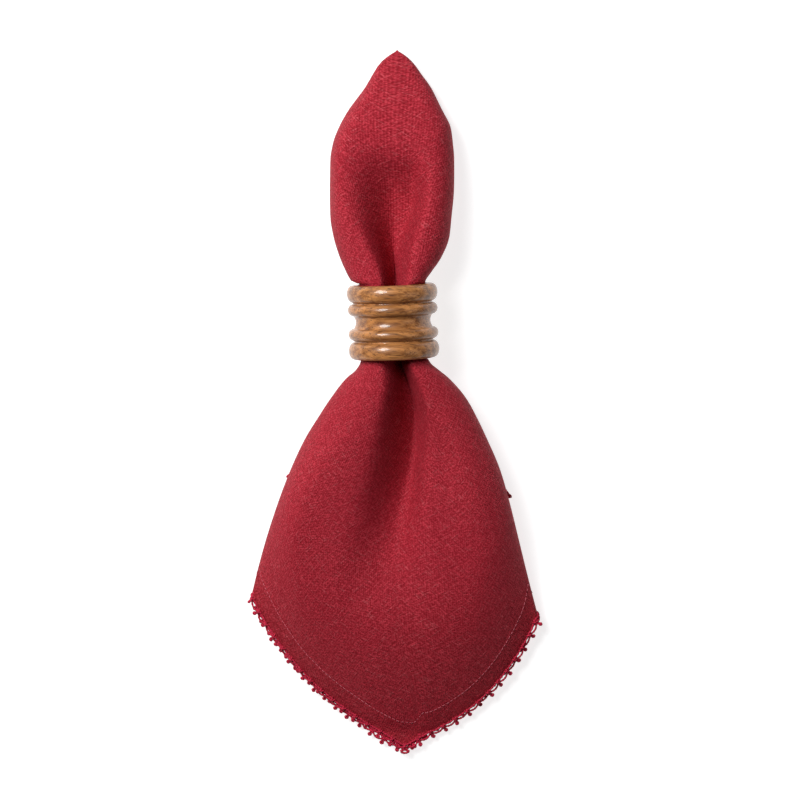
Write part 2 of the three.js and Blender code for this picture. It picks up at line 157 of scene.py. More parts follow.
# Where each fold meets the hem: the corner of the front sheet, the inner fold and the end of the last
# layer. The bow is how far the hem swings out of a straight line, and a small puff makes a full shoulder.
SIDES = {
    "left": {
        "sign": -1,
        "corner": (70, -137),
        "fold": (4.2, -127),
        "end": (39, -88),
        "bow": 12.5,
        "puff": 0.9,
    },
    "right": {
        "sign": 1,
        "corner": (71.4, -147),
        "fold": (4.2, -127),
        "end": (59.3, -83),
        "bow": 14,
        "puff": 0.62,
    },
}


def smooth_tangents(y, values):
    """Slopes at the rows of a table, flat where its values turn back."""
    slopes = np.diff(values) / np.diff(y)
    before, after = slopes[:-1], slopes[1:]
    same_way = before * after > 0
    total = np.where(same_way, before + after, 1)
    inner = np.where(same_way, 2 * before * after / total, 0)
    return np.concatenate([slopes[:1], inner, slopes[-1:]])


class Table:
    """Rows of named columns, read at any y on a smooth curve that never overshoots."""

    def __init__(self, columns, rows):
        data = np.array(rows, dtype=float)[::-1]
        names = columns.split()
        self.y = data[:, 0]
        self.values = {name: data[:, k] for k, name in enumerate(names)}
        self.tangents = {name: smooth_tangents(self.y, self.values[name]) for name in names}

    def read(self, name, y):
        y = np.clip(y, self.y[0], self.y[-1])
        i = np.clip(np.searchsorted(self.y, y) - 1, 0, len(self.y) - 2)
        span = self.y[i + 1] - self.y[i]
        t = (y - self.y[i]) / span
        start = 2 * t**3 - 3 * t**2 + 1
        values, tangents = self.values[name], self.tangents[name]
        bend = (t**3 - 2 * t**2 + t) * tangents[i] + (t**3 - t**2) * tangents[i + 1]
        return start * values[i] + (1 - start) * values[i + 1] + bend * span


# Outline of the cloth seen from above: distance of each side, and the height of its outermost point
OUTLINE = Table(
    "y left right height",
    [
        (134.5, -1.5, -1.5, 2.9),
        (131, 4.4, 4.4, 3.2),
        (127, 8.6, 8.2, 3.6),
        (121, 12.4, 12.5, 4),
        (115, 15.8, 17, 4.3),
        (107, 21.6, 21.2, 4.6),
        (103, 24.3, 23.3, 4.8),
        (95.5, 28.2, 27.2, 5),
        (88.5, 30.7, 28.4, 5.2),
        (80, 31.9, 29.4, 5.5),
        (65, 31.6, 29.8, 6.5),
        (52, 31, 29, 8),
        (42.5, 29.2, 28.2, 10.5),
        (32.5, 25.9, 24.4, 14),
        (25, 22.4, 19.2, 17.5),
        (21, 20, 16.6, 20.5),
        (18, 16.2, 16.2, 22),
        (-16, 16.2, 16.2, 22),
        (-20, 17, 18, 21.5),
        (-24, 19.5, 22.6, 20),
        (-28, 24, 27.4, 18),
        (-38, 31.4, 36, 14.5),
        (-48.5, 38, 42, 12.5),
        (-58.5, 44, 46.8, 11),
        (-73.5, 51, 53.2, 9.5),
        (-89, 57, 57.8, 8),
        (-109, 63.6, 62.8, 6.2),
        (-124, 67.8, 66.5, 5),
        (-137, 71, 69.8, 4.4),
        (-147, 73.6, 72.4, 4),
        (-215, 85, 87, 3.6),
    ],
)

# Crown of the front sheet: the groove down its middle and the lobe on each side of it
CROWN = Table(
    "y groove_x groove_z left_x left_z right_x right_z",
    [
        (133.7, 2, 3.8, 1.8, 3.7, 2.2, 3.7),
        (131, 2, 6, 0, 5.7, 4, 5.7),
        (127, 1.7, 8.4, -2.2, 8, 5.4, 8),
        (121, 1.2, 11.9, -4.6, 11.2, 7, 11.2),
        (115, 0.8, 15.2, -7.4, 14.6, 9.4, 14.4),
        (107, 0.4, 19.4, -11.5, 19, 12.5, 18.8),
        (100, 0, 22.2, -15, 22.4, 14.5, 22),
        (94, 0, 24, -18.5, 24.4, 16, 24.2),
        (88, 0, 24.6, -21.5, 25.6, 17.2, 25.6),
        (82, 0, 23.2, -23.6, 26.4, 18.2, 26.6),
        (76, 0.4, 19.4, -24.4, 27, 18.8, 27.6),
        (70, 0.8, 15.6, -24.2, 27.8, 18.8, 28.4),
        (62, 1, 12.4, -23.2, 28.8, 18, 29.6),
        (54, 1, 11.2, -21.4, 30, 16.8, 30.8),
        (42.5, 0.8, 11.2, -16.4, 31.8, 13.6, 33),
        (32.5, 1, 14, -11.2, 33.4, 10.8, 34.2),
        (25, 1.4, 17.2, -8, 34.6, 9.4, 34.8),
        (18, 1.6, 19.6, -6.8, 35, 7.8, 35),
        (0, 2, 19.8, -6.6, 35, 7.4, 35),
        (-18, 4, 19.4, -6, 35, 9.6, 35),
        (-28, 7.4, 16.6, -6, 35, 15, 35.2),
        (-38, 10.4, 13.2, -9, 34.8, 19, 35),
        (-48.5, 11.6, 11.2, -15, 34.4, 23.4, 34.6),
        (-58.5, 11.4, 10.6, -23, 34.2, 27, 34.4),
        (-73.5, 9.4, 11.4, -34, 34, 32, 34.2),
        (-87, 6.8, 13.8, -40.5, 33.6, 36, 33.8),
        (-99, 3.8, 17.6, -44, 33, 38, 33.2),
        (-112, 0.6, 22.4, -46, 32, 38, 32.6),
        (-124, -0.6, 26.2, -46, 31, 38, 32),
        (-155, 2, 30.4, -43, 30, 38, 31),
        (-200, 10.4, 31, -34, 29, 37, 29),
        (-215, 5.5, 31, -30, 29, 36, 29),
    ],
)

# How each lobe rises from the groove, as shares of its width: where the floor ends and where the wall
# ends, and how sharp a crease the right wall rises from. Where a wall ends short of the crown, WALL_SLANT
# spreads some of the rise out to the crown.
WALLS = Table(
    "y left_floor left_wall right_floor right_wall crease",
    [
        (133.7, 0, 1, 0, 1, 0),
        (92, 0, 1, 0, 1, 0),
        (76, 0, 1, 0.35, 1, 0),
        (60, 0, 1, 0.45, 1, 0),
        (46, 0, 1, 0.25, 1, 0),
        (32, 0, 1, 0, 1, 0.4),
        (18, 0, 1, 0, 1, 0.6),
        (-18, 0, 1, 0, 1, 0.8),
        (-38, 0, 0.95, 0, 0.85, 0.7),
        (-58, 0, 0.72, 0, 0.5, 0.4),
        (-73, 0, 0.6, 0, 0.36, 0.2),
        (-99, 0, 0.58, 0, 0.36, 0),
        (-124, 0, 0.7, 0, 0.6, 0),
        (-155, 0, 1, 0, 1, 0),
    ],
)
WALL_SLANT = 0.55

# The layers underneath: height of the turned-in layer at its outer and inner end, height of the last
# layer where the fold between them is closed, how much of the half width the fold lies from the middle,
# the angle it turns and the last layer's width
UNDER = Table(
    "y outer_z inner_z last_z fold_place fold_angle last_width",
    [
        (133.7, 1.3, 1.4, -0.6, 0.8, 8, 0.3),
        (121, 1.1, 1.4, -1, 0.72, 8, 0.6),
        (95.5, 1.1, 1.4, -1, 0.76, 8, 1),
        (82, 1.4, 2.4, -0.2, 0.74, 30, 1.2),
        (75, 2.2, 4.4, 1.6, 0.7, 75, 1.6),
        (68, 3.2, 5.6, 2.6, 0.66, 120, 2.2),
        (58, 4.6, 5.8, 2, 0.58, 180, 5),
        (42.5, 7, 8.4, 3.2, 0.46, 180, 9),
        (32.5, 10.6, 11.4, 4.6, 0.38, 180, 10.5),
        (24, 14.2, 14.6, 6.2, 0.36, 180, 9.5),
        (18, 16.6, 16.6, 7.4, 0.38, 180, 9),
        (-18, 16.6, 16.6, 7.4, 0.38, 180, 9),
        (-24, 15, 15, 6.2, 0.33, 180, 11.5),
        (-34, 11.4, 12, 4.4, 0.2, 180, 19),
        (-44, 8.6, 9.4, 3, 0.15, 180, 25.5),
        (-58.5, 6.2, 6.8, 1.8, 0.115, 180, 35),
        (-73.5, 5, 5.4, 1, 0.09, 180, 44.5),
        (-84, 4.2, 4.8, 1, 0.08, 180, 51.5),
        (-96, 3.4, 4.3, 1, 0.071, 180, 59),
        (-110, 2.2, 4.2, 1, 0.067, 180, 68),
        (-127, 1.5, 4.2, 1, 0.063, 180, 79),
        (-150, 1.2, 4.2, 1, 0.06, 180, 90),
    ],
)

# Soft creases of the front: from one point to another seen from above, half width, and height
# in the middle, below zero for a trough
CREASES = [
    ((1, 131), (-9, 119), 2.2, -0.5),
    ((-13, 113), (-20, 106), 2.6, -0.7),
    ((-27, 84), (-18, 76), 3.5, 0.5),
    ((26, 98), (18, 84), 3.5, 0.4),
    ((19, -44), (30, -92), 6, -2.6),
    ((-12, -40), (-34, -92), 7, 0.6),
    ((36, -60), (48, -108), 6, 0.7),
    ((-2, -104), (-22, -150), 10, -0.9),
    ((22, -120), (30, -170), 9, 0.7),
]

# The four layers from the outermost in: place in the stack, how far the hem of each side reaches past the
# hem line next to the tip and at the corner, and where the first picot falls as a share of the pitch
LAYERS = [
    {"place": 1.5, "left": (0, 0), "right": (0, 0), "phase": 0},
    {"place": 0.5, "left": (1.7, -3), "right": (-3, -3), "phase": 0.5},
    {"place": -0.5, "left": (-3.4, -3.4), "right": (-3.4, -3.4), "phase": 0.3},
    {"place": -1.5, "left": (-3.8, -3.8), "right": (-3.8, -3.8), "phase": 0.1},
]

# Columns of each fold, fine in the layers that show and coarse between them, and of the bends that join the
# layers. The last bend carries the cloth from the innermost layer back to the outermost.
FINE_STEPS = {"lobe": 12, "shoulder": 20, "wrap": 6, "inward": 8, "fold": 6, "last": 8}
COARSE_STEPS = {"lobe": 7, "shoulder": 11, "wrap": 5, "inward": 5, "fold": 5, "last": 5}
LAYER_STEPS = [FINE_STEPS, COARSE_STEPS, COARSE_STEPS, FINE_STEPS]
BEND_STEPS = [1, 1, 1, 3]

ring_low, ring_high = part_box("napkin_ring")
ORIGIN = Vector(((ring_low.x + ring_high.x) / 2, (ring_low.y + ring_high.y) / 2 - RING_Y * MM, 0))


def placed(points):
    """Points measured in millimetres from the middle of the ring, in metres in the part's frame."""
    return np.asarray(points, dtype=float) * MM + np.array(ORIGIN)


def smoothstep(x, low, high):
    t = np.clip((x - low) / (high - low), 0, 1)
    return t * t * (3 - 2 * t)


def unit(vectors):
    return vectors / np.maximum(np.linalg.norm(vectors, axis=-1, keepdims=True), 1e-9)


def middle_x(y):
    """The middle line of the cloth seen from above."""
    along = y - RING_Y
    end = RING_LENGTH / 2
    ring_shift = -math.sin(RING_TURN) * np.clip(along, -end, end)
    to_tip = smoothstep(along, end, TIP[1] - RING_Y)
    to_hem = smoothstep(-along, end, SKIRT_STRAIGHT)
    return ring_shift * (1 - to_tip) * (1 - to_hem) + TIP[0] * to_tip


def held_in_ring(x, y, z):
    """Nothing inside the ring lies further from its axis than its bore allows."""
    past = np.maximum(np.abs(y - RING_Y) - NECK_HALF, 0)
    limit = BUNDLE_RADIUS + NECK_FLARE * past
    dx = x - middle_x(y)
    dz = z - RING_RADIUS
    scale = limit / np.maximum(np.hypot(dx, dz), limit)
    return middle_x(y) + dx * scale, RING_RADIUS + dz * scale


def crease_height(x, y):
    """Height that the creases add at a place of the front."""
    height = np.zeros_like(x)
    for start, end, width, depth in CREASES:
        dx, dy = end[0] - start[0], end[1] - start[1]
        t = ((x - start[0]) * dx + (y - start[1]) * dy) / (dx * dx + dy * dy)
        inside = np.clip(t, 0, 1)
        away = np.hypot(x - start[0] - inside * dx, y - start[1] - inside * dy)
        along = np.sin(np.pi * np.clip(t, CREASE_END, 1 - CREASE_END))
        height = height + depth * np.exp(-((away / width) ** 2)) * along
    return height


def side_name(side):
    return "left" if side["sign"] < 0 else "right"


def lobe_section(side, y, u):
    """x and z of the front from the groove to a lobe's crown: a floor, then a wall that may be creased."""
    name = side_name(side)
    floor = WALLS.read(name + "_floor", y)
    wall = WALLS.read(name + "_wall", y)
    climb = np.clip((u - floor) / (wall - floor), 0, 1)
    crease = WALLS.read("crease", y) * (side["sign"] > 0)
    slant = WALL_SLANT * (1 - wall)
    rise = (1 - crease) * (1 - np.cos(math.pi * climb)) / 2 + crease * np.sin(math.pi / 2 * climb)
    rise = (1 - slant) * rise + slant * math.sin(math.pi / 2 * u)
    x = CROWN.read(name + "_x", y) * u + CROWN.read("groove_x", y) * (1 - u)
    return x, CROWN.read("groove_z", y) * (1 - rise) + CROWN.read(name + "_z", y) * rise


def section(side, y, fold, u):
    """x and z of the bundle's middle surface at heights y, before the front falls to its hem."""
    if fold == "lobe":
        return lobe_section(side, y, u)
    name = side_name(side)
    half = OUTLINE.read(name, y) - BUNDLE_THICKNESS / 2
    middle = middle_x(y)
    side_x = middle + side["sign"] * half
    side_z = OUTLINE.read("height", y)
    lobe_x = CROWN.read(name + "_x", y)
    lobe_z = CROWN.read(name + "_z", y)
    wrap = np.minimum(half * WRAP_WIDTH, WRAP_LIMIT)
    outer_z = UNDER.read("outer_z", y)
    inner_z = UNDER.read("inner_z", y)
    fold_x = half * UNDER.read("fold_place", y)
    radius = (inner_z - UNDER.read("last_z", y)) / 2
    angle = np.radians(UNDER.read("fold_angle", y))
    if fold == "shoulder":
        turn = math.pi / 2 * u
        x = lobe_x + (side_x - lobe_x) * math.sin(turn)
        return x, side_z + (lobe_z - side_z) * math.cos(turn) ** side["puff"]
    if fold == "wrap":
        turn = math.pi / 2 * u
        x = half - wrap + wrap * math.cos(turn)
        return middle + side["sign"] * x, outer_z + (side_z - outer_z) * (1 - math.sin(turn))
    if fold == "inward":
        x = half - wrap + (fold_x - half + wrap) * u
        return middle + side["sign"] * x, outer_z + (inner_z - outer_z) * u
    turned = angle * u if fold == "fold" else angle
    straight = UNDER.read("last_width", y) * u if fold == "last" else 0
    x = fold_x - radius * np.sin(turned) - straight * np.cos(turned)
    z = inner_z - radius * (1 - np.cos(turned)) - straight * np.sin(turned)
    return middle + side["sign"] * x, z


def hem_y(side, fold, x):
    """The hem seen from above, for the front sheet, the turned-in layer and the last layer."""

    def along(start, end):
        return start[1] + (end[1] - start[1]) * ((x * side["sign"] - start[0]) / (end[0] - start[0]))

    if fold in ("lobe", "shoulder"):
        tip = (HEM_TIP[0] * side["sign"], HEM_TIP[1])
        u = min(max((x * side["sign"] - tip[0]) / (side["corner"][0] - tip[0]), 0), 1)
        bow = side["bow"] * math.sin(math.pi * u**HEM_BOW_SHIFT) ** HEM_BOW_SHAPE
        return along(tip, side["corner"]) - bow
    if fold == "fold":
        return side["fold"][1]
    return along(side["fold"], side["end"] if fold == "last" else side["corner"])


def column_end(side, fold, u):
    """Where along the part a column of the cloth reaches its hem, found by halving."""
    above, below = NECK_BOTTOM, HEM_TIP[1] - 1
    for _ in range(30):
        y = (above + below) / 2
        if y > hem_y(side, fold, float(section(side, np.array(y), fold, u)[0])):
            above = y
        else:
            below = y
    return below


def column_rest(side, fold, u, end):
    """Where a column of the front comes down to rest: near its hem, but rounded off at the hem's tip."""
    if fold not in ("lobe", "shoulder"):
        return end
    away = abs(float(section(side, np.array(end), fold, u)[0]) - HEM_TIP[0])
    rounded = end + math.hypot(away, TIP_ROUNDING) - away
    return rounded - HEM_SINK - HEM_EVENNESS * (end - HEM_TIP[1])


def cloth_points(side, y, fold, u, rest):
    """Points of the bundle's middle surface at heights y, with the front sheet falling to the hem."""
    x, z = section(side, y, fold, u)
    if fold in ("lobe", "shoulder"):
        share = 1 - u**8 if fold == "shoulder" else 1
        reach = np.clip((y - rest) / HEM_FALL_LENGTH, 0, 1)
        fall = np.maximum(np.sin(np.pi / 2 * reach), HEM_LIFT * (1 - abs(share - 0.5)))
        z = HEM_HEIGHT + (z - HEM_HEIGHT) * (1 - share * (1 - fall))
        z = z + crease_height(x, y) * share
    x, z = held_in_ring(x, y, z)
    return np.stack([x, y, z], axis=-1)


def half_columns(side, steps):
    return [(side, fold, n / count) for fold, count in steps.items() for n in range(1, count + 1)]


def layer_columns(steps):
    """Columns of one layer, from its left edge over the front to its right edge."""
    left = half_columns(SIDES["left"], steps)[::-1]
    return left + [(SIDES["right"], "lobe", 0)] + half_columns(SIDES["right"], steps)


# Rows of the napkin's grid: distances from the tip, spacing over the bud, distances from the ring's upper
# mouth, number inside the ring and over the skirt, and distances from the hem. A column's length is measured
# over so many samples, and the stitched line is looked for in so many of its last rows.
TIP_ROWS = [0.5, 1.3, 2.4, 4, 6, 8.5]
BUD_ROW = 2.6
FLARE_ROWS = [4.5, 3, 1.8, 0.8]
NECK_ROWS = 8
SKIRT_ROWS = 44
SKIRT_EASE = 1.35
HEM_ROWS = [12.5, 11.7, 11.3, 11, 10.7, 9.8, 7, 4, 1.6, 0.6, 0]
PATH_SAMPLES = 90
HEM_BAND_ROWS = 24


def upper_heights():
    """Heights of the rows from the tip to the lower mouth of the ring, the same for every column."""
    tip = [TIP[1] - d for d in TIP_ROWS]
    count = round((tip[-1] - NECK_TOP - FLARE_ROWS[0]) / BUD_ROW)
    bud = np.linspace(tip[-1], NECK_TOP + FLARE_ROWS[0], count + 1)[1:]
    flare = [NECK_TOP + d for d in FLARE_ROWS[1:]]
    neck = np.linspace(NECK_TOP, NECK_BOTTOM, NECK_ROWS + 1)
    return np.concatenate([tip, bud, flare, neck])


def flat_angles(points):
    """Angle of each point from the quadrant's diagonal, by how far along its row it lies from the middle."""
    steps = np.linalg.norm(np.diff(points, axis=1), axis=2)
    travelled = np.concatenate([np.zeros((len(points), 1)), np.cumsum(steps, axis=1)], axis=1)
    corner = (points.shape[1] - 1) // 2
    away = travelled - travelled[:, corner : corner + 1]
    share = np.where(away < 0, away / -away[:, :1], away / away[:, -1:])
    aside = share * QUADRANT / math.sqrt(2)
    return np.arctan2(aside, DIAGONAL - np.abs(aside))


def hem_leans(columns, ends):
    """How far each column moves away from the hem for each millimetre that it runs up from it."""
    hem, above = [], []
    for (side, fold, u), end in zip(columns, ends):
        rest = column_rest(side, fold, u, end)
        pair = cloth_points(side, np.array([end, end + LEAN_PROBE]), fold, u, rest)
        hem.append(pair[0])
        above.append(pair[1])
    hem, above = np.array(hem), np.array(above)
    along = unit(np.diff(hem, axis=0))
    upward = unit(above - hem)
    before = np.concatenate([along[:1], along])
    after = np.concatenate([along, along[-1:]])
    leans = [np.linalg.norm(np.cross(upward, way), axis=1) for way in (before, after)]
    return np.clip((leans[0] + leans[1]) / 2, LEAST_LEAN, 1)


def hem_extra(layer, side, fold, u):
    """How far the hem of a layer reaches past the hem line, eased in from the middle of the front."""
    by_tip, by_corner = layer[side_name(side)]
    if fold == "lobe":
        return by_tip * min(1, 4 * u)
    if fold == "shoulder":
        return by_tip + (by_corner - by_tip) * u
    return 0


def layer_grid(steps, layer):
    """One layer as a grid: its middle points, flat angles and radii, and distances from the hem."""
    columns = layer_columns(steps)
    ends = [column_end(*column) for column in columns]
    leans = hem_leans(columns, ends)
    tops = upper_heights()
    points, lengths, distances = [], [], []
    for (side, fold, u), end, lean in zip(columns, ends, leans):
        rest = column_rest(side, fold, u, end)
        lowest = end - hem_extra(layer, side, fold, u)
        sample = np.concatenate([tops, np.linspace(NECK_BOTTOM, lowest, PATH_SAMPLES)[1:]])
        path = np.vstack([[TIP], cloth_points(side, sample, fold, u, rest)])
        travelled = np.cumsum(np.linalg.norm(np.diff(path, axis=0), axis=1))
        neck, total = travelled[len(tops) - 1], travelled[-1]
        hems = total - np.array(HEM_ROWS) / lean
        ease = (np.arange(1, SKIRT_ROWS + 1) / (SKIRT_ROWS + 1)) ** SKIRT_EASE
        wanted = np.concatenate([neck + (hems[0] - neck) * ease, hems])
        y = np.concatenate([tops, np.interp(wanted, travelled, sample)])
        points.append(cloth_points(side, y, fold, u, rest))
        lengths.append(np.concatenate([travelled[: len(tops)], wanted]))
        distances.append((total - lengths[-1]) * lean)
    points, lengths, distances = (np.stack(grid, axis=1) for grid in (points, lengths, distances))
    angles = flat_angles(points)
    hem_radii = QUADRANT / np.cos(math.pi / 4 - np.abs(angles[-1]))
    return points, angles, lengths * hem_radii / lengths[-1], distances


def grid_normals(points):
    """Upward normals of a grid that runs down its rows and across its columns."""
    across = np.gradient(points, axis=1)
    along = -np.gradient(points, axis=0)
    return unit(np.cross(across, along))


def stack_scale(points):
    """The layers close up towards the pinched tip."""
    return TIP_SPACING + (1 - TIP_SPACING) * smoothstep(TIP[1] - points[..., 1], 0, TIP_LENGTH)


def layer_surface(steps, layer):
    """One layer moved to its place in the stack, with its flat angles, radii, hem distances and thickness."""
    points, angles, radii, distances = layer_grid(steps, layer)
    scale = stack_scale(points)
    moved = points + grid_normals(points) * scale[..., None] * layer["place"] * LAYER_SPACING
    return moved, angles, radii, distances, scale * LAYER_THICKNESS


def fold_columns(start, before, end, count):
    """Columns that carry the cloth round a fold, from the edge of one layer to the edge of the next."""
    middle = (start + end) / 2
    reach = np.linalg.norm(start - end, axis=1, keepdims=True) / 2
    outward = unit(start - before)
    made = []
    for n in range(1, count + 1):
        turn = math.pi * n / (count + 1)
        made.append(middle + (start - middle) * math.cos(turn) + outward * reach * math.sin(turn))
    return made


def napkin_fan():
    """The napkin as one fan of columns round its middle: points, flat places, hem distances, thickness."""
    surfaces = [layer_surface(steps, layer) for steps, layer in zip(LAYER_STEPS, LAYERS)]
    fan = []

    def add(points, angle, radii, distances, thickness):
        flat = np.stack([radii * np.cos(angle), radii * np.sin(angle)], axis=-1)
        fan.append((points, flat, distances, thickness))

    for n, layer in enumerate(surfaces):
        forward = n % 2 == 0
        columns = list(range(layer[0].shape[1]))[:: 1 if forward else -1]
        middle = n * math.pi / 2
        for k in columns:
            points, angles, radii, distances, thickness = (grid[:, k] for grid in layer)
            add(points, middle + (angles if forward else -angles), radii, distances, thickness)
        edge, inside = columns[-1], columns[-2]
        following = surfaces[(n + 1) % 4][0][:, edge if edge == 0 else -1]
        radii, distances, thickness = (grid[:, edge] for grid in layer[2:])
        for points in fold_columns(layer[0][:, edge], layer[0][:, inside], following, BEND_STEPS[n]):
            add(points, middle + math.pi / 4, radii, distances, thickness)
    return [np.stack(grid, axis=1) for grid in zip(*fan)]


def ring_normals(points):
    """Normals of a grid whose columns close on themselves, on the napkin's right side."""
    across = np.roll(points, -1, axis=1) - np.roll(points, 1, axis=1)
    along = -np.gradient(points, axis=0)
    return unit(np.cross(across, along))


def make_object(name, points, faces):
    mesh = bpy.data.meshes.new(name)
    mesh.from_pydata([tuple(p) for p in placed(points)], [], faces)
    mesh.update()
    mesh.polygons.foreach_set("use_smooth", [True] * len(mesh.polygons))
    piece = bpy.data.objects.new(name, mesh)
    bpy.context.collection.objects.link(piece)
    return piece


def sheet_faces(height, width):
    """Faces of a closed sheet: two grids whose columns meet, a rim along the last row and two tips."""
    count = height * width
    upper_tip = 2 * count
    lower_tip = upper_tip + 1
    faces = []
    for i in range(height - 1):
        for j in range(width):
            k = (j + 1) % width
            a, b, c, d = i * width + j, (i + 1) * width + j, (i + 1) * width + k, i * width + k
            faces.append((a, b, c, d))
            faces.append((count + a, count + d, count + c, count + b))
    last = (height - 1) * width
    for j in range(width):
        k = (j + 1) % width
        faces.append((last + j, count + last + j, count + last + k, last + k))
        faces.append((upper_tip, j, k))
        faces.append((lower_tip, count + k, count + j))
    return faces


def mark_weave(piece, flats, distances):
    """Gives the cloth the flat place of each point along its threads, and its distance from the hem."""
    flat = np.concatenate([flats.reshape(-1, 2), flats.reshape(-1, 2), np.zeros((2, 2))])
    edge = np.concatenate([distances.ravel(), distances.ravel(), [QUADRANT, QUADRANT]])
    turned = np.stack([flat[:, 0] - flat[:, 1], flat[:, 0] + flat[:, 1]], axis=-1) / math.sqrt(2)
    weave = piece.data.uv_layers.new(name="weave")
    corners = np.empty(len(piece.data.loops), dtype=np.int32)
    piece.data.loops.foreach_get("vertex_index", corners)
    weave.data.foreach_set("uv", (turned[corners] * MM).ravel())
    band = piece.data.attributes.new("hem_distance", "FLOAT", "POINT")
    band.data.foreach_set("value", edge * MM)


def make_napkin(points, flats, distances, thickness, normals):
    """The cloth as one closed sheet: its right side, its wrong side and its rim."""
    half = thickness[..., None] / 2
    right_side = (points + normals * half).reshape(-1, 3)
    wrong_side = (points - normals * half).reshape(-1, 3)
    tips = np.array([TIP, (TIP[0], TIP[1] - LAYER_THICKNESS, TIP[2])])
    vertices = np.concatenate([right_side, wrong_side, tips])
    vertices[:, 2] = np.maximum(vertices[:, 2], 0)
    piece = make_object("napkin", vertices, sheet_faces(*points.shape[:2]))
    mark_weave(piece, flats, distances)
    return piece


def frames_along(path, normal):
    """Two directions across a path, the first as near as it can be to the given normal."""
    tangent = unit(np.gradient(path, axis=0))
    first = unit(normal - tangent * np.sum(normal * tangent, axis=-1, keepdims=True))
    return first, np.cross(tangent, first)


def add_tube(store, path, normal, radius, sides=6, twist=0.0, flat=1.0):
    """Adds a closed thread along a path to the store. A flattened section that turns looks twisted."""
    path = np.asarray(path, dtype=float)
    radius = np.broadcast_to(radius, len(path))
    first, second = frames_along(path, np.broadcast_to(normal, path.shape))
    vertices, faces = store
    start = len(vertices)
    for k, point in enumerate(path):
        for n in range(sides):
            angle = 2 * math.pi * n / sides
            a, b = math.cos(angle) * flat, math.sin(angle)
            turn = twist * k
            across = a * math.cos(turn) - b * math.sin(turn)
            over = a * math.sin(turn) + b * math.cos(turn)
            vertices.append(point + radius[k] * (first[k] * across + second[k] * over))
    for k in range(len(path) - 1):
        for n in range(sides):
            a, b = start + k * sides + n, start + k * sides + (n + 1) % sides
            faces.append((a, b, b + sides, a + sides))
    faces.append(tuple(start + n for n in range(sides))[::-1])
    end = start + (len(path) - 1) * sides
    faces.append(tuple(end + n for n in range(sides)))


def along_hem(values, distances, columns):
    """The values of some columns at the hem's width from the edge."""
    found = []
    for j in columns:
        order = np.argsort(distances[-HEM_BAND_ROWS:, j])
        away = distances[-HEM_BAND_ROWS:, j][order]
        column = values[-HEM_BAND_ROWS:, j][order]
        found.append([np.interp(HEM_WIDTH, away, column[:, k]) for k in range(3)])
    return np.array(found)


def curve_reader(points, extras):
    """Reads a polyline by its length, with other values that are carried along it."""
    travelled = np.concatenate([[0], np.cumsum(np.linalg.norm(np.diff(points, axis=0), axis=1))])

    def read(distance):
        curves = (points, *extras)
        return [np.array([np.interp(distance, travelled, curve[:, k]) for k in range(3)]) for curve in curves]

    return read, travelled[-1]


def make_stitches(points, distances, normals, spans):
    """The row of machine stitches that holds the hem, on the sides of the layers that show."""
    vertices, faces = [], []
    for first, last in spans:
        away = np.linalg.norm(points[-1] - points[-1, (first + last) // 2], axis=-1)
        columns = [j for j in range(first, last + 1) if away[j] == 0 or away[j] > STITCH_CORNER]
        lifts = unit(along_hem(normals, distances, columns))
        read, total = curve_reader(along_hem(points, distances, columns), [lifts])
        count = int(total / STITCH_PITCH)
        for n in range(count):
            start = (n + 0.5) * total / count - STITCH_LENGTH / 2
            path = []
            for t, rise in STITCH_RISE:
                point, up = read(start + t * STITCH_LENGTH)
                path.append(point + up * (LAYER_THICKNESS / 2 + rise))
            add_tube((vertices, faces), path, read(start)[1], STITCH_RADIUS, sides=5)
    laid = np.array(vertices)
    laid[:, 2] = np.maximum(laid[:, 2], 0)
    return make_object("hem_stitches", laid, faces)


class Hem:
    """The hem of one layer, read by the distance along it."""

    def __init__(self, points, outward, lifts):
        self.points = points
        self.read, self.length = curve_reader(points, [outward, lifts])

    def lift(self, distance):
        return unit(self.read(min(max(distance, 0), self.length))[2])

    def place(self, distance, out, up):
        """The place so far along the hem, so far out from it and so far above it."""
        point, away, lift = self.read(min(max(distance, 0), self.length))
        ahead = self.read(min(max(distance, 0) + HEM_PROBE, self.length))[0]
        tangent = unit(ahead - self.read(max(distance - HEM_PROBE, 0))[0])
        away = unit(away - tangent * (away @ tangent))
        return point + away * out + unit(lift) * up

    def joints(self):
        """Where the arches meet, evenly spaced on both sides of the hem's corner."""
        steps = np.linalg.norm(np.diff(self.points, axis=0), axis=1)
        middle = steps[: (len(self.points) - 1) // 2].sum()
        beyond = self.length - middle
        before = round(middle / PICOT_PITCH)
        after = round(beyond / PICOT_PITCH)
        first = [middle * n / before for n in range(before)]
        return first + [middle + beyond * n / after for n in range(after + 1)]


def add_picot(store, hem, here, rng):
    """A small loop of thread that stands out from the edge, leaning and tilted a little by chance."""
    tilt = rng.uniform(-PICOT_TILT, PICOT_TILT)
    lean = rng.uniform(-PICOT_LEAN, PICOT_LEAN)
    size = rng.uniform(1 - UNEVENNESS, 1 + UNEVENNESS)
    middle = PICOT_REACH - PICOT_RADIUS - THREAD_RADIUS
    loop = []
    for k in range(PICOT_STEPS):
        turn = 2 * math.pi * (k + 0.5) / PICOT_STEPS - math.pi / 2
        across = PICOT_RADIUS * size * math.cos(turn)
        out = middle + PICOT_RADIUS * size * math.sin(turn) * PICOT_STRETCH
        along = here + across + lean * (out - PICOT_LEAN_FROM)
        loop.append(hem.place(along, out, tilt * (out - PICOT_TILT_FROM) * PICOT_TILT_SLOPE))
    aside, out, up = PICOT_FOOT
    path = [hem.place(here + aside, out, -up), *loop, hem.place(here - aside, out, up)]
    add_tube(store, path, hem.lift(here), PICOT_THREAD, twist=0.9, flat=1.15)


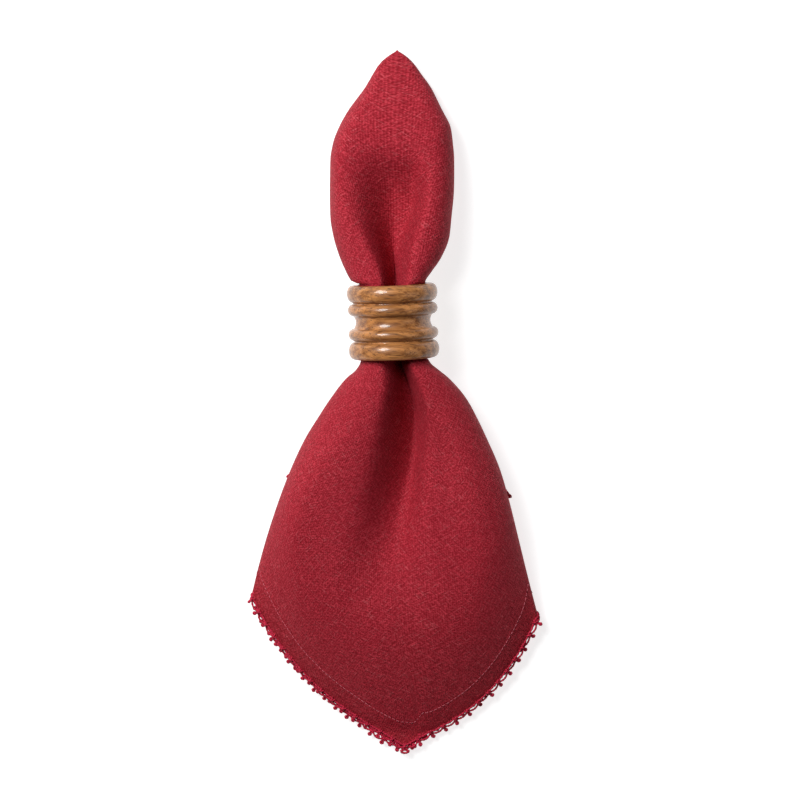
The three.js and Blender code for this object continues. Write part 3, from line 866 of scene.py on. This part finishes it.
def add_crossing(store, hem, here):
    """Two stitches that cross over the edge at the foot of a picot."""
    for way in (-1, 1):
        path = [hem.place(here + way * aside, out, up) for aside, out, up in CROSSING]
        add_tube(store, path, hem.lift(here), CROSSING_THREAD, sides=5, twist=0.7, flat=1.15)


def add_arch(store, hem, here, gap, rng):
    """A chain of stitches that bows out from one joint to the next."""
    reach = ARCH_REACH * rng.uniform(1 - UNEVENNESS, 1 + UNEVENNESS) - THREAD_RADIUS
    rise = rng.uniform(-ARCH_RISE, ARCH_RISE)
    path = []
    for k in range(ARCH_STEPS + 1):
        t = k / ARCH_STEPS
        out = ARCH_FOOT + (reach - ARCH_FOOT) * math.sin(math.pi * t) ** ARCH_FULLNESS
        path.append(hem.place(here + gap * t, out, rise * math.sin(math.pi * t)))
    chains = round(gap * ARCH_SLACK / CHAIN_LENGTH)
    waves = 1 + CHAIN_SWELL * np.cos(2 * math.pi * np.arange(ARCH_STEPS + 1) / ARCH_STEPS * chains)
    add_tube(store, path, hem.lift(here), THREAD_RADIUS * waves, twist=0.8, flat=1.15)


def add_edge_cord(store, hem):
    """The row of stitches that covers the edge of the cloth."""
    places = np.arange(0, hem.length, CORD_STEP)
    path = [hem.place(d, *CORD_PLACE) for d in places]
    lifts = np.array([hem.lift(d) for d in places])
    waves = 1 + CORD_SWELL * np.cos(2 * math.pi * places / CORD_WAVE)
    add_tube(store, path, lifts, THREAD_RADIUS * waves, twist=0.5, flat=1.2)


def make_edging(points, normals, spans, rng):
    """Crochet on the hem of every layer: a cord along the edge, arches, and a picot where two arches meet."""
    vertices, faces = [], []
    store = (vertices, faces)
    outward = unit(points[-1] - points[-3])
    for (first, last), layer in zip(spans, LAYERS):
        columns = np.arange(first, last + 1)
        hem = Hem(points[-1, columns], outward[columns], normals[-1, columns])
        joints = hem.joints()
        shift = layer["phase"] * PICOT_PITCH
        for joint, following in zip(joints, joints[1:] + [None]):
            here = joint + shift
            if here > hem.length:
                continue
            add_picot(store, hem, here, rng)
            add_crossing(store, hem, here)
            if following is not None:
                add_arch(store, hem, here, following - joint, rng)
        add_edge_cord(store, hem)
    laid = np.array(vertices)
    laid[:, 2] = np.maximum(laid[:, 2], FLOOR_GAP)
    return make_object("edging", laid, faces)


def ring_profile():
    """The ring's outline, closed on itself: distance from its axis and place along it."""
    outline = []
    for n, (start, end, radius) in enumerate(BEADS):
        if n == 2:
            low = BEADS[1][1]
            for k in range(1, COVE_STEPS):
                t = k / COVE_STEPS
                rise = radius - BEAD_HEIGHT - COVE_RADIUS
                outline.append((COVE_RADIUS + rise * (2 * t - 1) ** 2, low + (start - low) * t))
        for k in range(BEAD_STEPS + 1):
            turn = math.pi * k / BEAD_STEPS
            along = (start + end) / 2 - (end - start) / 2 * math.cos(turn)
            outline.append((radius - BEAD_HEIGHT + BEAD_HEIGHT * math.sin(turn), along))
    end = RING_LENGTH / 2
    mouth = []
    for k in range(ROUNDING_STEPS + 1):
        turn = math.pi / 2 * k / ROUNDING_STEPS
        inward = BORE_ROUNDING * (1 - math.sin(turn))
        mouth.append((RING_BORE_RADIUS + inward, end - BORE_ROUNDING * (1 - math.cos(turn))))
    outline += mouth
    outline += [(radius, -along) for radius, along in mouth[::-1]]
    return outline


def make_ring():
    """The ring's outline turned about its axis."""
    profile = ring_profile()
    count = len(profile)
    vertices, faces = [], []
    for n in range(ROUND_STEPS):
        angle = 2 * math.pi * n / ROUND_STEPS
        for radius, along in profile:
            across = radius * math.cos(angle)
            x = across * math.cos(RING_TURN) - along * math.sin(RING_TURN)
            y = across * math.sin(RING_TURN) + along * math.cos(RING_TURN)
            vertices.append((x, RING_Y + y, RING_RADIUS + radius * math.sin(angle)))
        for k in range(count):
            a, b = n * count + k, n * count + (k + 1) % count
            following = (n + 1) % ROUND_STEPS * count
            faces.append((a, following + k, following + (k + 1) % count, b))
    return make_object("turned_ring", vertices, faces)


class Nodes:
    """A small helper that adds shader nodes and links them by name."""

    def __init__(self, name):
        self.material = bpy.data.materials.new(name)
        self.material.use_nodes = True
        self.tree = self.material.node_tree
        self.shader = self.tree.nodes["Principled BSDF"]

    def add(self, kind, inputs=None, **settings):
        node = self.tree.nodes.new(kind)
        for key, value in settings.items():
            setattr(node, key, value)
        for key, value in (inputs or {}).items():
            if hasattr(value, "is_output"):
                self.tree.links.new(value, node.inputs[key])
            else:
                node.inputs[key].default_value = value
        return node

    def math(self, operation, a, b=0.0, clamp=False):
        return self.add("ShaderNodeMath", {0: a, 1: b}, operation=operation, use_clamp=clamp).outputs[0]

    def ramp(self, factor, low, high):
        inputs = {"Value": factor, "From Min": low, "From Max": high}
        return self.add("ShaderNodeMapRange", inputs, interpolation_type="SMOOTHSTEP").outputs[0]

    def noise(self, vector, scale, detail=2.0, rough=0.5):
        inputs = {"Vector": vector, "Scale": scale, "Detail": detail, "Roughness": rough}
        return self.add("ShaderNodeTexNoise", inputs).outputs["Fac"]

    def stretch(self, vector, scale):
        return self.add("ShaderNodeMapping", {"Vector": vector, "Scale": scale}).outputs[0]

    def mix(self, factor, a, b, blend="MIX"):
        node = self.add("ShaderNodeMix", data_type="RGBA", blend_type=blend)
        for socket, value in zip((node.inputs[0], node.inputs[6], node.inputs[7]), (factor, a, b)):
            if hasattr(value, "is_output"):
                self.tree.links.new(value, socket)
            else:
                socket.default_value = value
        return node.outputs[2]

    def bump(self, height, strength, distance, normal=None):
        inputs = {"Height": height, "Strength": strength, "Distance": distance}
        if normal is not None:
            inputs["Normal"] = normal
        return self.add("ShaderNodeBump", inputs).outputs[0]

    def set(self, **inputs):
        for key, value in inputs.items():
            socket = self.shader.inputs[key.replace("_", " ")]
            if hasattr(value, "is_output"):
                self.tree.links.new(value, socket)
            else:
                socket.default_value = value


# The weave: pairs of threads a metre, and in features a metre how long and how fine its uneven threads and
# its slubs run, how fine the painted shade between its threads is and how broad its worn patches are
WEAVE_PAIRS = 900
THREAD_RUN = 190
THREAD_FINE = 1900
SLUB_RUN = 170
SLUB_FINE = 1900
PAINTED_SHADE_FINE = 1150
PATCH_BROAD = 22
HEM_SOFTNESS = 1.2

LINEN = {
    "dark_thread": (0.29, 0.008, 0.019, 1),
    "light_thread": (0.50, 0.032, 0.052, 1),
    # Real lighter slub threads, partly painted highlight: their pinkish white stands in for light catching
    # the threads.
    "slub_and_highlight": (0.68, 0.16, 0.18, 1),
    # Painted highlight on the crowns of the weave, where the threads catch the light.
    "painted_thread_highlight": (0.76, 0.085, 0.11, 1),
    # Painted shade between the threads.
    "gap": (0.165, 0.002, 0.006, 1),
    "patch": (0.30, 0.006, 0.022, 1),
    "hem_tone": (0.95, 0.9, 0.9, 1),
}
STITCH_THREAD = {"dark": (0.50, 0.08, 0.11, 1), "light": (0.64, 0.16, 0.2, 1), "sheen": 0.1}
EDGING_THREAD = {"dark": (0.40, 0.010, 0.032, 1), "light": (0.62, 0.035, 0.08, 1), "sheen": 0.03}
WOOD = {
    "dark": (0.17, 0.052, 0.012, 1),
    "light": (0.54, 0.222, 0.067, 1),
    "fibre": (0.70, 0.335, 0.115, 1),
    "streak": (0.10, 0.034, 0.01, 1),
    "pore": (0.03, 0.012, 0.005, 1),
}

# The wood's grain, in features a metre along it and across it, and how far it waves in metres
WOOD_BEND = (18, 60, 60)
WOOD_FIGURE = (16, 330, 330)
WOOD_FIBRE = (70, 1800, 1800)
WOOD_PORE = (150, 2000, 2000)
WOOD_STREAK = (40, 900, 900)
WOOD_WAVE = (0, 0.006, 0.006)
COTTON_FINE = 1400


def linen():
    """Plain-woven linen: uneven warp and weft threads with lighter slubs, and a doubled hem. The slubs carry
    some painted highlight, the crowns of the weave a painted highlight and the spaces between threads painted
    shade.
    """
    n = Nodes("linen")
    uv = n.add("ShaderNodeUVMap", uv_map="weave").outputs[0]
    axes = n.add("ShaderNodeSeparateXYZ", {0: uv}).outputs
    waves = [n.math("SINE", n.math("MULTIPLY", axes[k], 2 * math.pi * WEAVE_PAIRS)) for k in (0, 1)]
    weave = n.math("MULTIPLY", waves[0], waves[1])
    warp = n.noise(n.stretch(uv, (THREAD_RUN, THREAD_FINE, 1)), 1.0, 2)
    weft = n.noise(n.stretch(uv, (THREAD_FINE, THREAD_RUN, 1)), 1.0, 2)
    warp_slub = n.ramp(n.noise(n.stretch(uv, (SLUB_RUN, SLUB_FINE, 1)), 1.0, 0), 0.66, 0.78)
    weft_slub = n.ramp(n.noise(n.stretch(uv, (SLUB_FINE, SLUB_RUN, 1)), 1.0, 0), 0.66, 0.78)
    # Where the painted shade between the threads falls.
    painted_gap_shade = n.ramp(n.noise(uv, PAINTED_SHADE_FINE, 1), 0.4, 0.6)
    patches = n.ramp(n.noise(uv, PATCH_BROAD, 2), 0.35, 0.7)
    distance = n.add("ShaderNodeAttribute", attribute_name="hem_distance").outputs["Fac"]
    inside = n.ramp(distance, HEM_WIDTH * MM, (HEM_WIDTH + HEM_SOFTNESS) * MM)
    threads = n.math("ADD", warp, weft)
    slubs = n.math("ADD", warp_slub, weft_slub, clamp=True)
    color = n.mix(n.ramp(threads, 0.8, 1.2), LINEN["dark_thread"], LINEN["light_thread"])
    # Lighter slubs, partly real and partly a painted highlight on the threads.
    color = n.mix(n.math("MULTIPLY", slubs, 0.32), color, LINEN["slub_and_highlight"])
    # Painted highlight: a lighter colour on the crowns of the weave, following its bump.
    color = n.mix(n.math("MULTIPLY", n.ramp(weave, -1, 1), 0.34), color, LINEN["painted_thread_highlight"])
    # Painted shade between the threads: fine dark speckles of noise.
    color = n.mix(n.math("MULTIPLY", painted_gap_shade, 0.55), color, LINEN["gap"])
    color = n.mix(n.math("MULTIPLY", patches, 0.15), color, LINEN["patch"])
    color = n.mix(1.0, color, n.mix(inside, LINEN["hem_tone"], (1, 1, 1, 1)), "MULTIPLY")
    uneven = n.math("ADD", threads, n.math("MULTIPLY", slubs, 0.4))
    relief = n.math("ADD", n.math("MULTIPLY", weave, 0.45), uneven)
    woven = n.bump(relief, 1.0, 0.00022)
    band = n.bump(n.math("SUBTRACT", 1.0, inside), 0.4, 0.0002, woven)
    n.set(Base_Color=color, Normal=band, Roughness=0.65, Specular_IOR_Level=0.07)
    return n.material


def thread(name, look):
    """Cotton thread of the edging or of the stitches."""
    n = Nodes(name)
    place = n.add("ShaderNodeTexCoord").outputs["Object"]
    fibres = n.noise(place, COTTON_FINE, 3, 0.6)
    color = n.mix(n.ramp(fibres, 0.35, 0.65), look["dark"], look["light"])
    n.set(Base_Color=color, Normal=n.bump(fibres, 0.5, 0.0001), Roughness=0.7, Specular_IOR_Level=0.12)
    n.set(Sheen_Weight=look["sheen"], Sheen_Roughness=0.4)
    return n.material


def wood():
    """Varnished hardwood, its grain running across the ring, with long dark pores."""
    n = Nodes("varnished_wood")
    place = n.add("ShaderNodeTexCoord").outputs["Object"]
    bend = n.noise(n.stretch(place, WOOD_BEND), 1.0, 2)
    shift = n.add("ShaderNodeCombineXYZ", {"Y": bend, "Z": bend}).outputs[0]
    terms = {0: shift, 1: WOOD_WAVE, 2: place}
    wavy = n.add("ShaderNodeVectorMath", terms, operation="MULTIPLY_ADD").outputs[0]
    figure = n.noise(n.stretch(wavy, WOOD_FIGURE), 1.0, 4, 0.65)
    fibres = n.noise(n.stretch(wavy, WOOD_FIBRE), 1.0, 3, 0.65)
    pores = n.ramp(n.noise(n.stretch(wavy, WOOD_PORE), 1.0, 1), 0.62, 0.7)
    streaks = n.ramp(n.noise(n.stretch(wavy, WOOD_STREAK), 1.0, 2), 0.56, 0.68)
    color = n.mix(n.ramp(figure, 0.34, 0.66), WOOD["dark"], WOOD["light"])
    color = n.mix(n.math("MULTIPLY", n.ramp(fibres, 0.4, 0.7), 0.45), color, WOOD["fibre"])
    color = n.mix(n.math("MULTIPLY", streaks, 0.55), color, WOOD["streak"])
    color = n.mix(n.math("MULTIPLY", pores, 0.8), color, WOOD["pore"])
    grain = n.bump(n.math("SUBTRACT", fibres, pores), 0.35, 0.00012)
    n.set(Base_Color=color, Normal=grain, Roughness=0.42, Specular_IOR_Level=0.35)
    n.set(Coat_Weight=0.6, Coat_Roughness=0.08, Coat_IOR=1.45)
    return n.material


def plain_floor():
    n = Nodes("pale_floor")
    n.set(Base_Color=(0.45, 0.45, 0.45, 1), Roughness=0.9, Specular_IOR_Level=0.1)
    n.set(Emission_Color=(1, 1, 1, 1), Emission_Strength=0.8)
    return n.material


def dress(piece, material):
    piece.data.materials.append(material)
    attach(piece, "root")


# The camera looks down at the photograph's slight slant, from above the bud. Places are in millimetres.
CAMERA_AT = (3.378, 73.35, 1302.93)
CAMERA_AIM = (3.43, -37.73, 22.2)
CAMERA_LENS = 117.76
SENSOR = 36
CLIP_START = 0.05

# Each light leans so many degrees from straight above to the left and to the tip. Distances are in metres.
LIGHTS = [
    {"name": "key", "left": 29, "up": 28, "distance": 1.05, "size": 0.45, "watts": 12.9},
    {"name": "fill", "left": -50, "up": -10, "distance": 1.8, "size": 1.2, "watts": 2.4},
]
LIGHT_AIM = (0, -30, 15)
WORLD_STRENGTH = 0.01
FLOOR_HALF = 3.0


def make_camera():
    data = bpy.data.cameras.new("camera")
    data.lens = CAMERA_LENS
    data.sensor_width = SENSOR
    data.clip_start = CLIP_START
    camera = bpy.data.objects.new("camera", data)
    bpy.context.collection.objects.link(camera)
    camera.location = placed(CAMERA_AT)
    ahead = Vector(CAMERA_AIM) - Vector(CAMERA_AT)
    camera.rotation_euler = (math.atan2(ahead.y, -ahead.z), 0, 0)
    bpy.context.scene.camera = camera


def add_light(name, left, up, distance, size, watts):
    """A square soft light that looks at the napkin."""
    data = bpy.data.lights.new(name, "AREA")
    data.shape = "SQUARE"
    data.size = size
    data.energy = watts
    light = bpy.data.objects.new(name, data)
    bpy.context.collection.objects.link(light)
    away = Vector((-math.tan(math.radians(left)), math.tan(math.radians(up)), 1)).normalized()
    light.location = Vector(placed(LIGHT_AIM)) + away * distance
    light.rotation_euler = away.to_track_quat("Z", "Y").to_euler()


def make_studio():
    for light in LIGHTS:
        add_light(**light)
    world = bpy.data.worlds.new("studio")
    world.use_nodes = True
    background = world.node_tree.nodes["Background"].inputs
    background["Color"].default_value = (1, 1, 1, 1)
    background["Strength"].default_value = WORLD_STRENGTH
    bpy.context.scene.world = world
    bpy.context.scene.view_settings.view_transform = "Standard"
    mesh = bpy.data.meshes.new("floor")
    corners = [(x * FLOOR_HALF, y * FLOOR_HALF, 0) for x, y in ((-1, -1), (1, -1), (1, 1), (-1, 1))]
    mesh.from_pydata(corners, [], [(0, 1, 2, 3)])
    mesh.materials.append(plain_floor())
    floor = bpy.data.objects.new("floor", mesh)
    bpy.context.collection.objects.link(floor)


def layer_spans():
    """First and last column of each layer in the fan, where a bend follows each layer."""
    spans = []
    start = 0
    for steps, bend in zip(LAYER_STEPS, BEND_STEPS):
        last = start + 2 * sum(steps.values())
        spans.append((start, last))
        start = last + 1 + bend
    return spans


def main():
    make_camera()
    make_studio()
    points, flats, distances, thickness = napkin_fan()
    normals = ring_normals(points)
    spans = layer_spans()
    napkin = make_napkin(points, flats, distances, thickness, normals)
    stitches = make_stitches(points, distances, normals, [spans[0], spans[3]])
    edging = make_edging(points, normals, spans, random.Random(SEED))
    ring = make_ring()
    dress(napkin, linen())
    dress(stitches, thread("stitch_thread", STITCH_THREAD))
    dress(edging, thread("edging_thread", EDGING_THREAD))
    dress(ring, wood())
    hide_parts("napkin_cloth")
    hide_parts("picot_edging")
    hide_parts("napkin_ring")


main()
